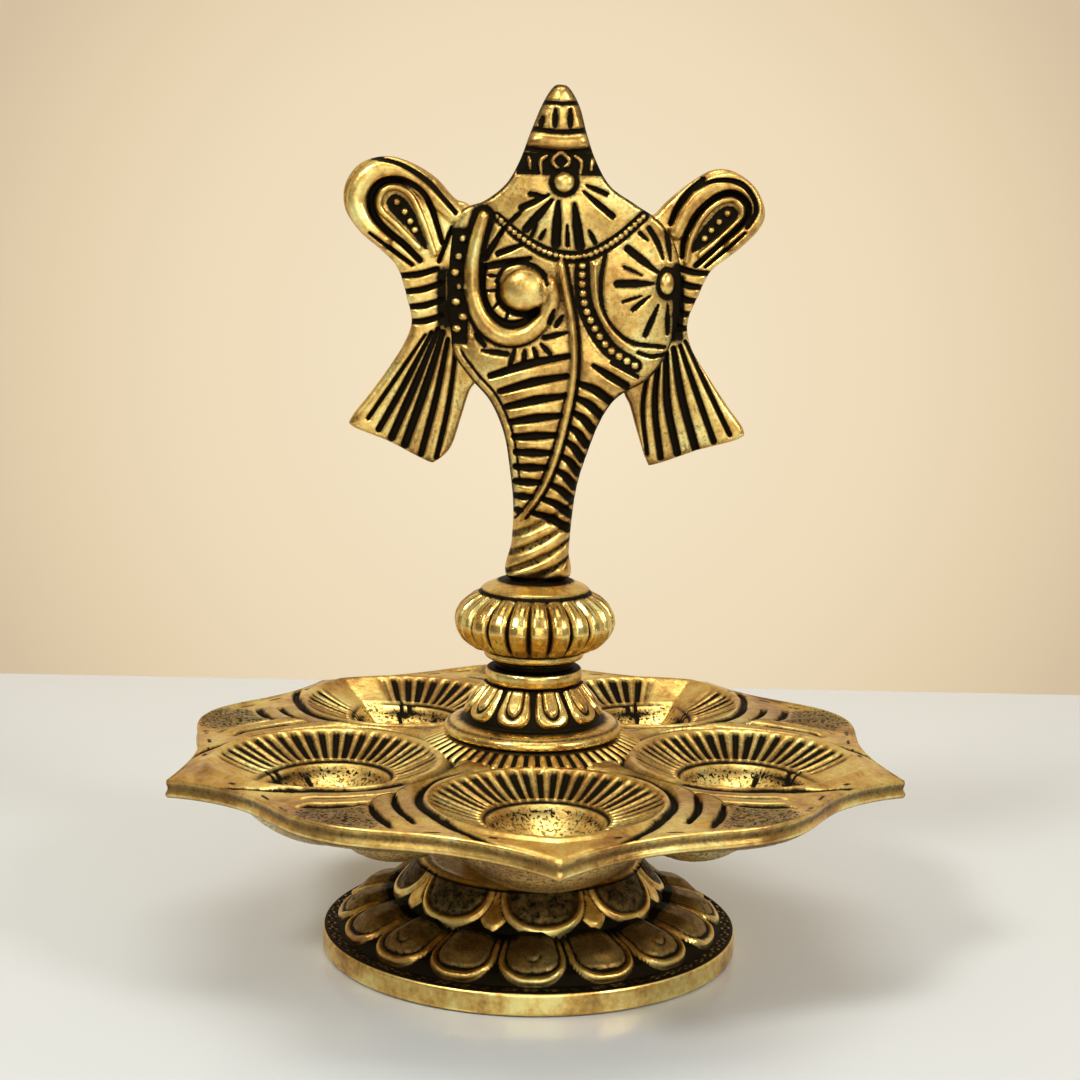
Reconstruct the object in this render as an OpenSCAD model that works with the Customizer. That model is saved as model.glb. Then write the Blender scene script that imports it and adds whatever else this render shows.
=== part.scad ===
// Five-wick diya (oil lamp) with a conch finial: a cast lotus foot, a petal tray with five wells,
// a turned spindle and a flat conch emblem, all drawn together by one threaded rod.
// Millimetres. The origin is the centre of the foot's underside, on the rod's axis. +Z is up
// and the emblem faces -Y.

/* [Foot] */
// Outer radius of the foot's plain rim
foot_r = 46.2; // [44:0.1:50]
// Height of the plain rim band
rim_h = 5.4; // [4.5:0.1:6]
// Height of the seat that carries the tray
seat_z = 20; // [19:0.5:21]
// Wall thickness of the hollow foot
foot_wall = 3; // [2.5:0.1:3.5]

/* [Tray] */
// Distance from the axis to a petal tip
tip_r = 82.5; // [80:0.5:90]
// Distance from the axis to the crest of a lobe between two petals
lobe_r = 77.5; // [76:0.5:79]
// Top face of the tray's flat casting
tray_z = 46.2; // [45:0.1:47]
// Thickness of the tray's flat casting
tray_t = 4.2; // [3.5:0.1:5]
// Distance from the axis to the centre of a well
well_c = 46; // [45.5:0.1:47]
// Radius of a well's opening
well_r = 23.2; // [22:0.1:23.4]
// How far the tray is turned on the rod from square with the emblem, in degrees
tray_turn = 4; // [-36:1:36]

/* [Spindle] */
// Radius of the bell's flange, which sits on the tray
flange_r = 19.7; // [18:0.1:20.5]
// Largest radius of the ribbed melon knob
knob_r = 17.5; // [16:0.1:19]
// Radius of the plain ring between bell and knob
neck_r = 10.4; // [9.5:0.1:11]

/* [Finial] */
// Thickness of the conch body, front to back
conch_t = 13; // [12:0.5:16]
// Thickness of the ribbon bows, front to back
bow_t = 7.5; // [6:0.5:9]
// Thickness of the stem, front to back
stem_t = 11; // [10:0.5:12]

/* [Fasteners] */
// Diameter of the threaded rod
rod_d = 5; // [4.5:0.1:5]
// Clearance round the rod in the castings
rod_play = 0.4; // [0.3:0.1:0.6]

/* [Hidden] */
$fn = 96;
petals = 5;
lower_petals = 16;
upper_petals = 8;
ribs = 22;
eps = 0.5;

// Heights of the faces where the pieces meet, from the bottom up
plate_z = seat_z - foot_wall;
bell_z = 49;
neck_z = 60.6;
knob_z = 64;
finial_z = 83.6;
top_z = 190.2;

// Fasteners under the foot's top plate
washer_t = 1;
spring_t = 1.2;
nut_h = 4;
nut_af = 8;
spring_z = plate_z - washer_t;
nut_z = spring_z - spring_t;
rod_z = nut_z - nut_h - 2.5;
socket_depth = 14;
bore_r = rod_d / 2 + rod_play;
socket_play = 0.05;

// Front and back of the conch body are cylinders of this radius, centred on emblem_x
crown_r = 110;
emblem_x = 4.5;

// Well section: rim collar, fluted slope, ring, then the oil cup
collar_w = 1.6;
collar_z = tray_z + 0.7;
ring_r = 13.2;
ring_z = 43;
cup_z = 35;
bulge_z = 28.4;
bulge_r = 22.5;
// Shallower bowl under the panel between two petals
panel_c = 52;
panel_z = 33;
panel_r = 15;
hub_r = 15;
waist_r = lobe_r - 7;
tip_width = 10;

// Radius and centre height of a sphere through two points of its section
function cap_r(half, rise) = (half * half + rise * rise) / (2 * rise);

// Distance from the axis to the tray's edge, a degrees away from the nearest petal tip
function edge_r(a) = waist_r + (lobe_r - waist_r) * pow(sin(2.5 * a), 5)
                   + (tip_r - waist_r) * exp(-a / tip_width);
function off_tip(a) = abs(((a + 36) % 72) - 36);

// A smooth curve through the points p, with n steps from each point to the next
function curve_at(a, b, c, d, t) = 0.5 * (2 * b + (c - a) * t + (2 * a - 5 * b + 4 * c - d) * t * t
                                 + (3 * b - a - 3 * c + d) * t * t * t);
function smooth(p, n) = let (m = len(p))
    [for (i = [0 : m - 1], k = [0 : n - 1])
        curve_at(p[(i + m - 1) % m], p[i], p[(i + 1) % m], p[(i + 2) % m], k / n)];

// Section of a bowl's round underside or inside, from its axis out to the radius half
function bowl(half, low, rise, n) = let (r = cap_r(half, rise), a = asin(half / r))
    [for (k = [0 : n]) [r * sin(a * k / n), low + r - r * cos(a * k / n)]];

// Outlines of the emblem, seen from the front: x to the right of the axis, z as height
body_pts = [[-6, 84], [-5.4, 92], [-5.2, 100], [-6, 108], [-7.4, 116], [-10.5, 123], [-15, 128],
            [-19, 134], [-20.5, 144], [-20.3, 155], [-18, 163], [-12.5, 165.6], [-8, 169.2],
            [-5.2, 174], [-3, 180], [-0.6, 186], [1.6, 189.6], [3.4, 190.2], [5.2, 189.4],
            [7.4, 185.6], [9, 180], [11, 174.5], [14.2, 169.2], [19.5, 165.6], [25.5, 161.5],
            [29.3, 155], [30, 146], [28.5, 137], [24, 129], [17, 124.6], [13.3, 119.4],
            [10.5, 112], [8.6, 105], [7.6, 97], [7.1, 90], [6.7, 84]];
left_bow_pts = [[-15, 163], [-19, 166], [-23, 170.2], [-28, 173.2], [-33.5, 174.6], [-39, 173],
                [-42.2, 168.6], [-42.2, 163.4], [-39, 158.6], [-34, 154.4], [-30.8, 150.8],
                [-28.8, 144.5], [-27.8, 139.5], [-29.4, 134.8], [-33, 129], [-37, 123.4],
                [-40.6, 118.6], [-40.2, 116.6], [-32.5, 113.6], [-24.2, 109.5], [-22, 109.6],
                [-19, 112.6], [-17, 118.6], [-15.2, 124.6], [-13, 130], [-14, 148]];
right_bow_pts = [[20, 163], [23.6, 163.2], [26.5, 166.2], [31, 170], [36, 173], [40.5, 172.8],
                 [45, 169.6], [47.3, 164.6], [46.2, 160.8], [41.8, 156.2], [36.4, 151.8],
                 [33.8, 146.5], [31.6, 140.5], [32.6, 135], [36.5, 128.8], [40.8, 122.6],
                 [44.3, 117.8], [43.4, 115.6], [35, 113.1], [25.4, 109.7], [23.6, 110.4],
                 [21.6, 116], [19.8, 122], [18, 128], [20, 146]];

// Places of the round bosses on the emblem: x, z and radius
crown_boss = [4.4, 170.1, 2.5];
shell_ball = [-3.5, 148.3, 4.6];
flower_boss = [27.2, 148.4, 2.3];

// Round the axis at five places, one for each petal
module each_petal() {
    for (k = [0 : petals - 1])
        rotate([0, 0, tray_turn + k * 360 / petals])
            translate([0, -well_c, 0])
                children();
}

// The clearance hole that the rod passes through
module rod_hole(z0, z1) {
    translate([0, 0, z0 - eps])
        cylinder(r = bore_r, h = z1 - z0 + 2 * eps);
}

// Hollow cast foot: plain rim, a lower row of petals, an upper row that overhangs it, top ring
module lotus_foot() {
    color("goldenrod") difference() {
        union() {
            rotate_extrude()
                polygon([[0, seat_z], [21.5, seat_z], [22.3, seat_z + 0.6], [24, seat_z + 0.6],
                         [24.4, seat_z - 0.6], [25.4, 17.6], [27.6, 15], [28.8, 13], [28.4, 12.3],
                         [30.5, 11.7], [36.5, 9.6], [40.8, 7.2], [41.6, 5.9], [43.8, 5.4],
                         [foot_r - 0.8, rim_h], [foot_r, rim_h - 0.8], [foot_r, 0.6],
                         [foot_r - 0.5, 0], [foot_r - foot_wall, 0], [foot_r - foot_wall, 3],
                         [38, 5], [30, 8.5], [25, 11], [21.5, 15], [17, plate_z], [0, plate_z]]);
            for (k = [0 : lower_petals - 1])
                rotate([0, 0, (k + 0.1) * 360 / lower_petals])
                    translate([0, -33.5, 1.5])
                        sphere(r = 9.6, $fn = 48);
        }
        rod_hole(plate_z, seat_z);
        translate([0, 0, -20])
            cylinder(r = foot_r - foot_wall, h = 20);
        rotate_extrude()
            polygon([[0, -eps], [foot_r - foot_wall, -eps], [foot_r - foot_wall, 3], [38, 5],
                     [30, 8.5], [25, 11], [21.5, 15], [17, plate_z], [0, plate_z]]);
    }
}

// Outline of the tray: five pointed petals with a round lobe between each two
module tray_outline() {
    polygon([for (a = [0 : 3 : 357])
        let (r = edge_r(off_tip(a)), t = a - 90 + tray_turn) [r * cos(t), r * sin(t)]]);
}

// One casting: the flat, bowls that bulge below it, a hub and a raised ring at the centre
module petal_tray() {
    bulge = bowl(bulge_r, bulge_z, tray_z - tray_t + 0.4 - bulge_z, 12);
    cup = bowl(ring_r, cup_z, ring_z - cup_z, 6);
    panel = bowl(panel_r, panel_z, tray_z - tray_t + 0.4 - panel_z, 4);
    color("darkgoldenrod") difference() {
        union() {
            translate([0, 0, tray_z - tray_t])
                linear_extrude(tray_t)
                    tray_outline();
            each_petal()
                rotate_extrude()
                    polygon(concat(bulge, [[well_r + collar_w + 1, tray_z - 1],
                                           [well_r + collar_w, collar_z], [0, collar_z]]));
            rotate([0, 0, 180 / petals])
                each_petal()
                    translate([0, well_c - panel_c, 0])
                        rotate_extrude($fn = 28)
                            polygon(concat(panel, [[panel_r, tray_z - 1], [0, tray_z - 1]]));
            rotate_extrude()
                polygon([[0, seat_z], [hub_r, seat_z], [hub_r + 3, tray_z - tray_t], [24.6, 44],
                         [24.6, 46.6], [20.5, bell_z - 0.6], [19, bell_z], [0, bell_z]]);
        }
        each_petal()
            rotate_extrude()
                polygon(concat(cup, [[well_r, collar_z], [well_r + 2 * eps, collar_z + 4 * eps],
                                     [0, collar_z + 4 * eps]]));
        rod_hole(seat_z, bell_z);
    }
}

// Flared bell with a rounded flange, which stands on the tray
module stem_bell() {
    color("gold") difference() {
        rotate_extrude()
            polygon([[0, bell_z], [flange_r - 0.6, bell_z], [flange_r, bell_z + 0.9],
                     [flange_r - 0.2, bell_z + 2], [flange_r - 1.6, 52.2], [17, 53.4], [15, 54.8],
                     [12.4, 57], [10.6, 59], [9.8, neck_z], [0, neck_z]]);
        rod_hole(bell_z, neck_z);
    }
}

// Plain ring with a rounded edge between the bell and the knob
module neck_ring() {
    color("khaki") difference() {
        rotate_extrude()
            polygon([[0, neck_z], [neck_r - 0.4, neck_z], [neck_r, neck_z + 0.5],
                     [neck_r, knob_z - 0.5], [neck_r - 0.4, knob_z], [0, knob_z]]);
        rod_hole(neck_z, knob_z);
    }
}

// Squat melon knob: shoulder collar, ribbed belly, thin ring and a waist under it
module melon_knob() {
    belly_z = 73.8;
    color("goldenrod") difference() {
        rotate_extrude()
            polygon([[0, knob_z], [8.8, knob_z], [8.8, 65.6], [10.8, 66.4], [11.6, 67.6],
                     [12.2, 68.4], [14.4, 69.4], [16, 71], [17, 72.6], [knob_r, belly_z],
                     [17.2, 75.8], [16.2, 77.6], [14.4, 79.3], [12.2, 80.4], [12.2, 81],
                     [10, 82.4], [7.6, finial_z], [0, finial_z]]);
        for (k = [0 : ribs - 1])
            rotate([0, 0, (k + 0.5) * 360 / ribs])
                translate([0, -knob_r - 0.6, belly_z - 4])
                    cylinder(r = 1.1, h = 8.5, $fn = 24);
        rod_hole(knob_z, finial_z);
    }
}

// A flat piece with the outline p, standing in the plane of the emblem
module slab(p, t) {
    rotate([90, 0, 0])
        translate([0, 0, -t / 2])
            linear_extrude(t)
                polygon(smooth(p, 3));
}

// A tall lens: t thick at the axis of the emblem, thinner towards both sides
module crowned(t, h) {
    intersection_for (side = [-1, 1])
        translate([emblem_x, side * (crown_r - t / 2), 0])
            cylinder(r = crown_r, h = h, $fn = 360);
}

// Half thickness of the crowned conch body, x to the right of the axis
function face_y(x) = conch_t / 2 - pow(x - emblem_x, 2) / (2 * crown_r);

// Round boss at the same place on the front and on the back
module boss(place) {
    for (side = [-1, 1])
        translate([place[0], side * face_y(place[0]), place[1]])
            sphere(r = place[2], $fn = 32);
}

// One casting: crowned conch, two ribbon bows, and the stem with the threaded socket
module conch_finial() {
    color("gold") difference() {
        union() {
            intersection() {
                slab(body_pts, conch_t);
                translate([0, 0, finial_z])
                    crowned(conch_t, top_z - finial_z + 1);
            }
            slab(left_bow_pts, bow_t);
            slab(right_bow_pts, bow_t);
            boss(crown_boss);
            boss(shell_ball);
            boss(flower_boss);
        }
        for (side = [-1, 1])
            translate([-60, side > 0 ? stem_t / 2 : -stem_t / 2 - 20, finial_z - eps])
                cube([120, 20, 30]);
        translate([0, 0, finial_z - eps])
            cylinder(r = rod_d / 2 + socket_play, h = socket_depth + eps);
    }
}

// Threaded rod, drawn as a plain cylinder of the thread's outer diameter
module tie_rod() {
    color("silver")
        translate([0, 0, rod_z])
            cylinder(r = rod_d / 2, h = finial_z + socket_depth - 1.5 - rod_z);
}

module flat_washer() {
    color("gray") translate([0, 0, spring_z]) difference() {
        cylinder(r = 5, h = washer_t);
        translate([0, 0, -eps])
            cylinder(r = rod_d / 2 + 0.15, h = washer_t + 2 * eps);
    }
}

// Split lock washer, closed flat under the nut's pull
module spring_washer() {
    color("dimgray") translate([0, 0, nut_z]) difference() {
        cylinder(r = 4.6, h = spring_t);
        translate([0, 0, -eps])
            cylinder(r = rod_d / 2 + 0.1, h = spring_t + 2 * eps);
        rotate([0, 0, 40])
            translate([0, -0.4, -eps])
                cube([10, 0.8, spring_t + 2 * eps]);
    }
}

module hex_nut() {
    color("silver") translate([0, 0, nut_z - nut_h]) difference() {
        cylinder(r = nut_af / 2 / cos(30), h = nut_h, $fn = 6);
        translate([0, 0, -eps])
            cylinder(r = rod_d / 2 + 0.02, h = nut_h + 2 * eps);
    }
}

lotus_foot();
petal_tray();
stem_bell();
neck_ring();
melon_knob();
conch_finial();
tie_rod();
flat_washer();
spring_washer();
hex_nut();
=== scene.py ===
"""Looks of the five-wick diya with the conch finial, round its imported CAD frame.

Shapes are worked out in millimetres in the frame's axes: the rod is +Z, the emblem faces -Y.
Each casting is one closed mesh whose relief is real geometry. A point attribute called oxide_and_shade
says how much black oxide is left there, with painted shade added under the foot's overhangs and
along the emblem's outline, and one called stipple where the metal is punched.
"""
import math
from functools import reduce

import bpy
import numpy as np
from mathutils import Matrix, Vector


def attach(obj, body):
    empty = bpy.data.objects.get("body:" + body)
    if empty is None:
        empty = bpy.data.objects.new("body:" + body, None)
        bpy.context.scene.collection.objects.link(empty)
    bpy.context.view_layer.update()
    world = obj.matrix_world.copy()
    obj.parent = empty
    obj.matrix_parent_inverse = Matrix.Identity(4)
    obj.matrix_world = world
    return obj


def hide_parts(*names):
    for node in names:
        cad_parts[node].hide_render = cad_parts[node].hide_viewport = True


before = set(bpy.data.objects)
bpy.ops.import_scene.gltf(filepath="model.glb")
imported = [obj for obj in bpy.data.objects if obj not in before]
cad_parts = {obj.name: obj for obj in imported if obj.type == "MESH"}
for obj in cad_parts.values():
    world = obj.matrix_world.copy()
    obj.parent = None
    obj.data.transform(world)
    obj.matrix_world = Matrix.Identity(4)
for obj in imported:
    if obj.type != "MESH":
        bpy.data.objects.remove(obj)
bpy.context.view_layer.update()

MM = 0.001
FULL_TURN = 2 * math.pi


def unit(x):
    """x held between 0 and 1."""
    return np.clip(x, 0, 1)


def most(*fields):
    """The largest of several fields at each point."""
    return reduce(np.maximum, fields)


def soft(x):
    """Smooth step from 0 to 1."""
    x = unit(x)
    return x * x * (3 - 2 * x)


def bell(x, width):
    """1 at x = 0, falling off over width."""
    return np.exp(-((x / width) ** 2))


def curve(points, closed=False, steps=6):
    """A smooth path through given points."""
    p = np.array(points, float)
    if closed:
        p = np.vstack([p[-1], p, p[0], p[1]])
    elif len(p) > 2:
        p = np.vstack([2 * p[0] - p[1], p, 2 * p[-1] - p[-2]])
    else:
        return p
    t = np.linspace(0, 1, steps, endpoint=False)[:, None]
    path = [0.5 * (
        2 * b + (c - a) * t + (2 * a - 5 * b + 4 * c - d) * t**2 + (3 * b - a - 3 * c + d) * t**3) for a,
        b, c, d in zip(p, p[1:], p[2:], p[3:])]
    return np.vstack(path + ([] if closed else [p[-2:-1]]))


def nearest(path, u, v):
    """Distance from points to a path, the place along it from 0 to 1, and the foot point."""
    step = np.diff(path, axis=0)
    length = np.hypot(*step.T)
    start = np.concatenate([[0], np.cumsum(length)])
    best = np.full(u.shape, 1e9)
    place = np.zeros(u.shape)
    foot_u, foot_v = np.zeros(u.shape), np.zeros(u.shape)
    for a, s, n, before in zip(path[:-1], step, length, start):
        t = unit(((u - a[0]) * s[0] + (v - a[1]) * s[1]) / max(n * n, 1e-9))
        fu, fv = a[0] + t * s[0], a[1] + t * s[1]
        d = np.hypot(u - fu, v - fv)
        closer = d < best
        best[closer] = d[closer]
        place[closer] = ((before + t * n) / start[-1])[closer]
        foot_u[closer], foot_v[closer] = fu[closer], fv[closer]
    return best, place, foot_u, foot_v


# every cut line is this much wider than its drawn width
LINE_WEIGHT = 1.3


class Relief:
    """Height, oxide with some painted shade, and punching at points (u, v) of a worked surface, in
    millimetres.
    """

    def __init__(self, u, v, height=0.0):
        self.u = u
        self.v = v
        self.h = np.zeros(u.shape) + height
        self.dark = np.zeros(u.shape)
        self.stipple = np.zeros(u.shape)

    def along(self, points, reach, closed=False):
        """The points within reach of a path: index, distance and place along it."""
        path = curve(points, closed)
        if closed:
            path = np.vstack([path, path[:1]])
        low, high = path.min(0) - reach, path.max(0) + reach
        at = np.nonzero((self.u > low[0]) & (self.u < high[0]) & (self.v > low[1]) & (self.v < high[1]))
        d, place, _, _ = nearest(path, self.u[at], self.v[at])
        return at, d, place

    def groove(self, points, width, depth=0.7, taper=(1, 1), dark=1.0, closed=False):
        """A cut line: width in its middle, taper times that at its two ends."""
        width = width * LINE_WEIGHT
        at, d, place = self.along(points, width, closed)
        half = width / 2 * np.interp(place, [0, 0.5, 1], [taper[0], 1, taper[1]])
        self.h[at] -= depth * soft(1.4 * (1 - d / (1.15 * half)))
        self.dark[at] = np.maximum(self.dark[at], dark * soft(1.9 * (1.12 - d / half)))

    def ridge(self, points, width, height, taper=(1, 1), closed=False):
        """A round strand laid on the surface, rubbed bright."""
        at, d, place = self.along(points, width, closed)
        half = width / 2 * np.interp(place, [0, 0.5, 1], [taper[0], 1, taper[1]])
        k = unit(1 - (d / half) ** 2)
        self.h[at] += height * np.sqrt(k)
        self.dark[at] *= 1 - soft(3 * k)

    def swell(self, centre, radii, height):
        """A broad low swelling of the ground."""
        q = np.hypot((self.u - centre[0]) / radii[0], (self.v - centre[1]) / radii[1])
        self.h += height * soft(1 - q)

    def dome(self, centre, radii, height, rim=0.0):
        """A round or oval boss, with a dark line of width rim about its foot."""
        q = np.hypot((self.u - centre[0]) / radii[0], (self.v - centre[1]) / radii[1])
        self.h += height * np.sqrt(unit(1 - q * q))
        outside = (q - 1) * min(radii)
        if rim:
            near = soft(1 + outside * 3) * soft(1.6 - outside / rim)
            self.dark = np.maximum(self.dark, near)
        self.dark *= 1 - soft((1 - q) * 5)

    def beads(self, points, pitch, radius, height):
        """Round beads at an even pitch along a path."""
        path = curve(points)
        length = np.concatenate([[0], np.cumsum(np.hypot(*np.diff(path, axis=0).T))])
        places = np.linspace(0, length[-1], int(round(length[-1] / pitch)) + 1)
        for at in places:
            centre = [np.interp(at, length, path[:, 0]), np.interp(at, length, path[:, 1])]
            near = np.nonzero(np.hypot(self.u - centre[0], self.v - centre[1]) < radius)
            q = np.hypot(self.u[near] - centre[0], self.v[near] - centre[1]) / radius
            self.h[near] += height * np.sqrt(unit(1 - q * q))
            self.dark[near] *= 1 - soft((1 - q) * 3.5)

    def stain_and_shade(self, amount):
        """Adds darkness where amount is above zero: mostly oxide, and painted shade along the emblem's
        outline.
        """
        self.dark = np.maximum(self.dark, amount)

    def punch(self, amount):
        """Marks a punched ground."""
        self.stipple = np.maximum(self.stipple, amount)


def blur(field, reach):
    """Average of a 2-D field over a round neighbourhood of about reach cells."""
    out = field
    taps = np.arange(-2 * reach, 2 * reach + 1)
    weight = np.exp(-((taps / reach) ** 2))
    weight /= weight.sum()
    for axis in (0, 1):
        pad = [(0, 0), (0, 0)]
        pad[axis] = (2 * reach, 2 * reach)
        wide = np.pad(out, pad, mode="edge")
        size = field.shape[axis]
        out = sum(w * np.take(wide, np.arange(k, k + size), axis=axis) for k, w in enumerate(weight))
    return out


# ---------------------------------------------------------------- meshes


def new_object(name, data):
    """An object of the scene that holds this data."""
    made = bpy.data.objects.new(name, data)
    bpy.context.scene.collection.objects.link(made)
    return made


def casting(name, points, faces, dark, stipple, body, node):
    """Makes a closed mesh of points in millimetres and rides it on its body."""
    mesh = bpy.data.meshes.new(name)
    mesh.from_pydata((points * MM).tolist(), [], faces)
    mesh.polygons.foreach_set("use_smooth", [True] * len(mesh.polygons))
    for key, values in (("oxide_and_shade", dark), ("stipple", stipple)):
        attribute = mesh.attributes.new(key, "FLOAT", "POINT")
        attribute.data.foreach_set("value", np.asarray(values, np.float32).ravel())
    mesh.update()
    piece = new_object(name, mesh)
    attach(piece, body)
    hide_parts(node)


def grid_faces(rows, columns):
    """Quads of a grid of points in row order, closed both ways."""
    row, column = np.meshgrid(np.arange(rows), np.arange(columns), indexing="ij")
    above, beside = (row + 1) % rows, (column + 1) % columns
    corners = [(row, column), (row, beside), (above, beside), (above, column)]
    return np.stack([r * columns + c for r, c in corners], -1).reshape(-1, 4).tolist()


def even(corners, pitch):
    """Points at about an even pitch along a polyline of (r, z), its corners kept."""
    points = []
    for a, b in zip(corners, corners[1:]):
        n = max(1, int(round(math.dist(a, b) / pitch)))
        points += [(a[0] + (b[0] - a[0]) * k / n, a[1] + (b[1] - a[1]) * k / n) for k in range(n)]
    return points


def round_corners(loop, times=2):
    """Eases the corners of a closed loop of evenly spaced points."""
    p = np.array(loop, float)
    for _ in range(times):
        p = 0.25 * np.roll(p, 1, 0) + 0.5 * p + 0.25 * np.roll(p, -1, 0)
    return p


def revolve(name, section, columns, relief, node):
    """A turned or cast ring: the closed section of (r, z), anticlockwise, with relief on it."""
    r, z = section[:, 0], section[:, 1]
    ahead = np.roll(section, -1, 0) - np.roll(section, 1, 0)
    ahead /= np.hypot(*ahead.T)[:, None]
    angle = np.arange(columns) * FULL_TURN / columns
    rows = len(section)
    radius = np.repeat(r[:, None], columns, 1)
    height = np.repeat(z[:, None], columns, 1)
    turn = np.repeat(angle[None, :], rows, 0)
    rise, dark, stipple = relief(turn, radius, height)
    out_r = radius + rise * ahead[:, 1:2]
    out_z = height - rise * ahead[:, 0:1]
    points = np.stack([out_r * np.sin(turn), -out_r * np.cos(turn), out_z], -1).reshape(-1, 3)
    faces = grid_faces(rows, columns)
    casting(name, points, faces, dark, stipple, "base", node)


def fold(turn, count, phase=0.0):
    """Angle from the nearest of count places round the axis."""
    pitch = FULL_TURN / count
    return (turn - math.radians(phase) + pitch / 2) % pitch - pitch / 2


def tongue(u, v, half, end, squareness=2.5):
    """How far inside a round-ended petal a point lies: it ends at v = end and runs to +v."""
    back = np.minimum(v - end - half, 0)
    return half - (np.abs(u) ** squareness + np.abs(back) ** squareness) ** (1 / squareness)


# ---------------------------------------------------------------- foot, bell, ring and knob

FOOT_OUTSIDE = [(45.8, 0), (46.2, 0.6), (46.2, 4.7), (45.6, 5.4), (45.1, 5.5), (44.2, 5.2), (42.6, 5.2),
    (42.2, 5.9), (41, 7.4), (36.5, 9.5), (31.5, 10.8), (29.3, 11.1), (30.2, 12), (29.4, 13.4),
    (27.6, 15.4), (25.6, 17.7), (24.4, 19.4), (24.1, 20.5), (22.3, 20.6), (21.4, 20)]
FOOT_INSIDE = [(21.4, 20), (2.9, 20), (2.9, 17), (17, 17), (21.5, 15), (25, 11), (30, 8.5), (38, 5),
    (43.2, 3), (43.2, 0), (45.8, 0)]


LOWER_PETALS, UPPER_PETALS, LEAVES, RIBS, BOSS_RIBS = 16, 8, 10, 22, 55
# where the lower petals end and how wide half of one is
LOWER_END, LOWER_HALF = 43.0, 7.35


def foot_relief(turn, r, z):
    outside = (z > 0.4) & (r > 23.5) & ((r > 43.3) | (z > 5))
    ground = outside & (z > 5)
    # lower row: sixteen broad petals with a raised border and a soft inner field
    u = fold(turn, LOWER_PETALS, 1.5) * 38
    inside = tongue(u, LOWER_END - r, LOWER_HALF, 0.3, 3)
    lower = ground & (z < 11.4) & (r > 29)
    rise = 1.1 * soft(inside / 0.7) - 0.6 * bell(inside - 1.6, 0.4)
    rise += 1.0 * soft((inside - 1.9) / 3.2)
    dark = soft(0.8 - inside / 0.45) + 0.8 * bell(inside - 1.6, 0.4)
    # a crescent cut in every other field
    crescent = np.hypot(u, (r - 36.6) * 0.8)
    kept = (np.abs(fold(turn, LOWER_PETALS // 2, 1.5)) < math.radians(9)) & (inside > 2.2)
    cut = 0.7 * kept * bell(crescent - 1.9, 0.45) * soft((r - 36.4) / 1.2)
    field = 0.2 + 0.28 * soft((inside - 1.4) / 0.6)
    # the field is the petals' brown oxide; the last term, darker towards the axis, is painted shade under the
    # overhanging upper row
    dark = most(dark, field, cut, 0.6 * soft((35.5 - r) / 3.5))
    rise = rise - 0.35 * cut
    # upper row: eight pointed petals that hang over the lower ones, small tips between them
    u_top = fold(turn, UPPER_PETALS, 7) * 28
    height = 30.6 - r
    tip = tongue(u_top, height * 1.25 - 0.1 + 0.012 * u_top**2, 10.6, 0.0, 2.2)
    between = tongue(fold(turn, UPPER_PETALS, 29.5) * 28, height * 1.25 - 0.5, 3.6, 0.0, 1.6)
    upper = ground & (z >= 11.4) & (z < 20.2)
    upper_rise = 1.0 * soft(tip / 0.9) - 0.6 * bell(tip - 2.2, 0.5) + 0.5 * soft((tip - 2.5) / 2.5)
    upper_rise = np.where(tip < 0, 0.5 * soft(between / 1.2), upper_rise)
    # the upper petals' fields are dark with oxide, and with painted shade from the tray above them
    upper_dark = soft(0.9 - tip / 0.5) + 0.6 * soft((tip - 1.1) / 0.7)
    upper_dark = np.where(tip < 0, soft(0.9 - between / 0.5), upper_dark)
    rise = np.where(upper, upper_rise * 0.8, np.where(lower, rise, 0.0))
    dark = np.where(upper, upper_dark, np.where(lower, dark, 0.0))
    # the granular groove inside the rim, painted shadow under the upper row, painted shade from the tray
    # round the collar, the collar's line
    groove = ground & (r > 43.2) & (r < 45.2) & (z < 6.2)
    grain = np.cos(turn * 96) * np.cos(r * 4.4) * np.cos(turn * 37 + 1)
    dark = np.where(groove, 0.7 + 0.6 * grain, dark)
    rise = np.where(groove, 0.25 * grain, rise)
    shadow = soft((33.5 - r) / 3) * (z < 11.6)
    shade_under_tray = 0.45 * soft((25.5 - r) / 1.5) * (z < 20)
    line = 0.9 * bell(z - 19.6, 0.4) * (r < 25)
    dark = most(dark, outside * shadow, outside * shade_under_tray, outside * line, 0.35 * (1 - outside))
    stipple = np.where(ground & (z < 19), 0.16, 0.05) * (1 - 0.6 * unit(dark))
    return rise, unit(dark), stipple


def bell_relief(turn, r, z):
    outside = r > 4
    leaf = outside & (z > 52.9) & (z < 60.3)
    u = fold(turn, LEAVES, 18) * 12.6
    inside = tongue(u * (1 + 0.03 * (z - 53)), z - 53.0, 3.95, 0.0, 2.6)
    inner = tongue(u * 1.5, z - 55, 2.6, 0.0, 2.0)
    rise = 0.8 * soft(inside / 0.8) - 0.45 * bell(inner, 0.4) + 0.35 * soft(inner / 1.2)
    dark = soft(0.9 - inside / 0.45) + 0.9 * bell(inner, 0.33)
    rise = np.where(leaf, rise, 0.0)
    dark = np.where(leaf, dark, 0.0)
    for level, width in ((52.7, 0.4), (60.3, 0.4), (49.0, 0.5)):
        dark = np.maximum(dark, outside * bell(z - level, width))
        rise = rise - outside * 0.25 * bell(z - level, width)
    dark = np.maximum(dark, outside * 0.5 * bell(z - 51.5, 0.3))
    return rise, unit(dark), 0.25 * outside


def ring_relief(turn, r, z):
    outside = r > 4
    dark = outside * (bell(z - 60.6, 0.4) + bell(z - 64, 0.3))
    return 0 * r, unit(dark), 0.1 * outside


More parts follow.
